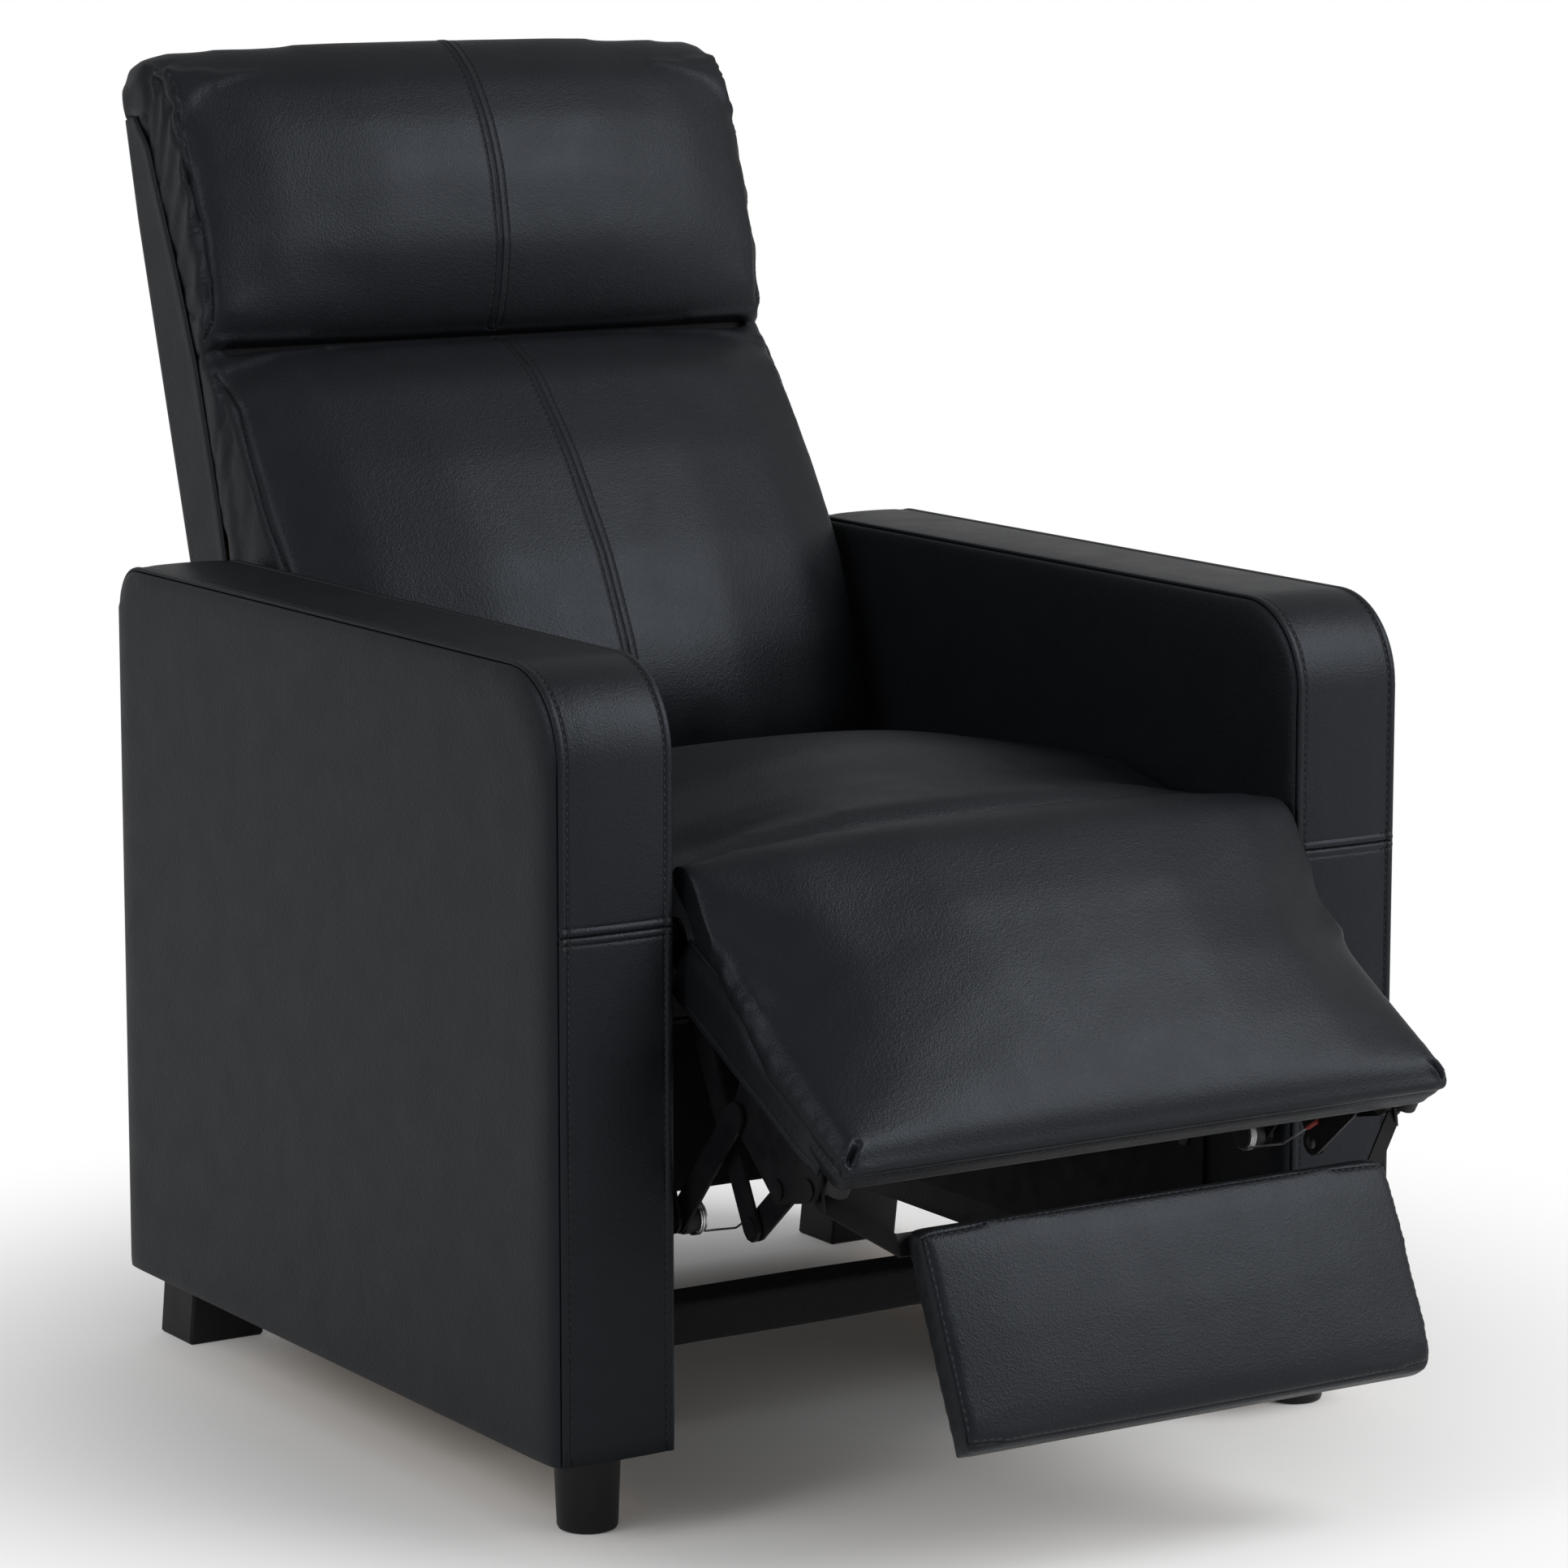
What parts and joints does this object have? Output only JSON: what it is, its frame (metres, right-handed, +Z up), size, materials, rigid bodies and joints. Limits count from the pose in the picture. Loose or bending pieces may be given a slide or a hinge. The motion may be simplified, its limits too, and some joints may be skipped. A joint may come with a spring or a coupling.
{
  "type": "pushback recliner",
  "caption": "Armchair recliner in black faux leather: box arms, reclining back with head pillow, leg pad and lower pad on a steel linkage, shown with the leg rest open.",
  "frame": {"origin": "middle of the chair's outline on the floor", "axes": "+X across the chair, to the right as seen from its front; +Y towards its rear; +Z up"},
  "size_m": [0.72, 1.1155, 1.0066],
  "materials": {
    "left_arm_front_post": "sawn softwood",
    "left_arm_rear_post": "sawn softwood",
    "left_arm_top_rail": "sawn softwood",
    "left_arm_bottom_rail": "sawn softwood",
    "left_arm_band": "smooth black faux leather",
    "left_arm_inner_panel": "smooth black faux leather",
    "left_arm_outer_panel": "smooth black faux leather",
    "right_arm_front_post": "sawn softwood",
    "right_arm_rear_post": "sawn softwood",
    "right_arm_top_rail": "sawn softwood",
    "right_arm_bottom_rail": "sawn softwood",
    "right_arm_band": "smooth black faux leather",
    "right_arm_inner_panel": "smooth black faux leather",
    "right_arm_outer_panel": "smooth black faux leather",
    "left_front_leg": "matt black plastic",
    "left_rear_leg": "matt black plastic",
    "left_base_plate": "black painted steel",
    "right_front_leg": "matt black plastic",
    "right_rear_leg": "matt black plastic",
    "right_base_plate": "black painted steel",
    "front_rail": "black woven fabric",
    "rear_apron": "black woven fabric",
    "left_rear_swing_link": "black painted steel",
    "right_rear_swing_link": "black painted steel",
    "left_front_swing_link": "black painted steel",
    "right_front_swing_link": "black painted steel",
    "left_seat_plate": "black painted steel",
    "right_seat_plate": "black painted steel",
    "seat_front_rail": "black woven fabric",
    "seat_rear_rail": "sawn softwood",
    "seat_springs": "spring steel wire",
    "seat_dust_cover": "black woven fabric",
    "seat_cushion": "smooth black faux leather",
    "left_back_stile": "sawn softwood",
    "right_back_stile": "sawn softwood",
    "back_top_rail": "sawn softwood",
    "back_bottom_rail": "sawn softwood",
    "back_webbing": "black woven fabric",
    "back_cover": "smooth black faux leather",
    "left_back_bracket": "black painted steel",
    "right_back_bracket": "black painted steel",
    "lumbar_cushion": "smooth black faux leather",
    "head_pillow": "smooth black faux leather",
    "footrest_board": "sawn softwood",
    "footrest_pad": "smooth black faux leather",
    "left_footrest_bracket": "black painted steel",
    "right_footrest_bracket": "black painted steel",
    "footrest_cross_tube": "black painted steel",
    "lower_pad": "smooth black faux leather",
    "lower_pad_board": "sawn softwood",
    "left_lower_pad_bracket": "black painted steel",
    "right_lower_pad_bracket": "black painted steel",
    "left_front_crank": "black painted steel",
    "right_front_crank": "black painted steel",
    "left_front_coupler": "black painted steel",
    "right_front_coupler": "black painted steel",
    "left_rear_crank": "black painted steel",
    "right_rear_crank": "black painted steel",
    "left_rear_coupler": "black painted steel",
    "right_rear_coupler": "black painted steel"
  },
  "bodies": {
    "base": {"left_arm_front_post": "left_arm_front_post", "left_arm_rear_post": "left_arm_rear_post", "left_arm_top_rail": "left_arm_top_rail", "left_arm_bottom_rail": "left_arm_bottom_rail", "left_arm_band": "left_arm_band", "left_arm_inner_panel": "left_arm_inner_panel", "left_arm_outer_panel": "left_arm_outer_panel", "right_arm_front_post": "right_arm_front_post", "right_arm_rear_post": "right_arm_rear_post", "right_arm_top_rail": "right_arm_top_rail", "right_arm_bottom_rail": "right_arm_bottom_rail", "right_arm_band": "right_arm_band", "right_arm_inner_panel": "right_arm_inner_panel", "right_arm_outer_panel": "right_arm_outer_panel", "left_front_leg": "left_front_leg", "left_rear_leg": "left_rear_leg", "left_base_plate": "left_base_plate", "right_front_leg": "right_front_leg", "right_rear_leg": "right_rear_leg", "right_base_plate": "right_base_plate", "front_rail": "front_rail", "rear_apron": "rear_apron"},
    "rear_links": {"left_rear_swing_link": "left_rear_swing_link", "right_rear_swing_link": "right_rear_swing_link"},
    "front_links": {"left_front_swing_link": "left_front_swing_link", "right_front_swing_link": "right_front_swing_link"},
    "seat": {"left_seat_plate": "left_seat_plate", "right_seat_plate": "right_seat_plate", "seat_front_rail": "seat_front_rail", "seat_rear_rail": "seat_rear_rail", "seat_springs": "seat_springs", "seat_dust_cover": "seat_dust_cover", "seat_cushion": "seat_cushion"},
    "back": {"left_back_stile": "left_back_stile", "right_back_stile": "right_back_stile", "back_top_rail": "back_top_rail", "back_bottom_rail": "back_bottom_rail", "back_webbing": "back_webbing", "back_cover": "back_cover", "left_back_bracket": "left_back_bracket", "right_back_bracket": "right_back_bracket", "lumbar_cushion": "lumbar_cushion", "head_pillow": "head_pillow"},
    "footrest": {"footrest_board": "footrest_board", "footrest_pad": "footrest_pad", "left_footrest_bracket": "left_footrest_bracket", "right_footrest_bracket": "right_footrest_bracket", "footrest_cross_tube": "footrest_cross_tube"},
    "lower_pad": {"lower_pad": "lower_pad", "lower_pad_board": "lower_pad_board", "left_lower_pad_bracket": "left_lower_pad_bracket", "right_lower_pad_bracket": "right_lower_pad_bracket"},
    "cranks": {"left_front_crank": "left_front_crank", "right_front_crank": "right_front_crank"},
    "couplers": {"left_front_coupler": "left_front_coupler", "right_front_coupler": "right_front_coupler"},
    "rear_cranks": {"left_rear_crank": "left_rear_crank", "right_rear_crank": "right_rear_crank"},
    "rear_couplers": {"left_rear_coupler": "left_rear_coupler", "right_rear_coupler": "right_rear_coupler"}
  },
  "joints": [
    {"name": "push_back", "type": "hinge", "parent": "base", "child": "rear_links", "pos_m": [0, 0.13372, 0.195], "axis": [1, 0, 0], "range_deg": [0, 20]},
    {"name": "seat_level", "type": "hinge", "parent": "rear_links", "child": "seat", "pos_m": [0, 0.15456, 0.31318], "axis": [-1, 0, 0], "range_deg": [0, 20]},
    {"name": "front_link_swing", "type": "hinge", "parent": "base", "child": "front_links", "pos_m": [0, -0.08128, 0.195], "axis": [1, 0, 0], "range_deg": [0, 20]},
    {"name": "back_recline", "type": "hinge", "parent": "seat", "child": "back", "pos_m": [0, 0.30372, 0.3], "axis": [-1, 0, 0], "range_deg": [0, 25]},
    {"name": "footrest_fold", "type": "hinge", "parent": "seat", "child": "footrest", "pos_m": [0, -0.30128, 0.455], "axis": [-1, 0, 0], "range_deg": [-50, 20]},
    {"name": "lower_pad_hinge", "type": "hinge", "parent": "footrest", "child": "lower_pad", "pos_m": [0, -0.43828, 0.273], "axis": [-1, 0, 0], "range_deg": [-11.2, 28]},
    {"name": "front_crank_hinge", "type": "hinge", "parent": "seat", "child": "cranks", "pos_m": [0, -0.25928, 0.419], "axis": [-1, 0, 0], "range_deg": [-50, 20]},
    {"name": "front_coupler_hinge", "type": "hinge", "parent": "cranks", "child": "couplers", "pos_m": [0, -0.35828, 0.229], "axis": [-1, 0, 0], "range_deg": [-20, 50]},
    {"name": "rear_crank_hinge", "type": "hinge", "parent": "seat", "child": "rear_cranks", "pos_m": [0, -0.22628, 0.367], "axis": [-1, 0, 0], "range_deg": [-50, 20]},
    {"name": "rear_coupler_hinge", "type": "hinge", "parent": "rear_cranks", "child": "rear_couplers", "pos_m": [0, -0.27628, 0.219], "axis": [-1, 0, 0], "range_deg": [-20, 50]}
  ],
  "couplings": [
    {"joint": "seat_level", "follows": "push_back", "ratio": 1},
    {"joint": "front_link_swing", "follows": "push_back", "ratio": 1},
    {"joint": "back_recline", "follows": "push_back", "ratio": 1.25},
    {"joint": "lower_pad_hinge", "follows": "footrest_fold", "ratio": -0.56},
    {"joint": "front_crank_hinge", "follows": "footrest_fold", "ratio": 1},
    {"joint": "front_coupler_hinge", "follows": "footrest_fold", "ratio": -1},
    {"joint": "rear_crank_hinge", "follows": "footrest_fold", "ratio": 1},
    {"joint": "rear_coupler_hinge", "follows": "footrest_fold", "ratio": -1}
  ]
}
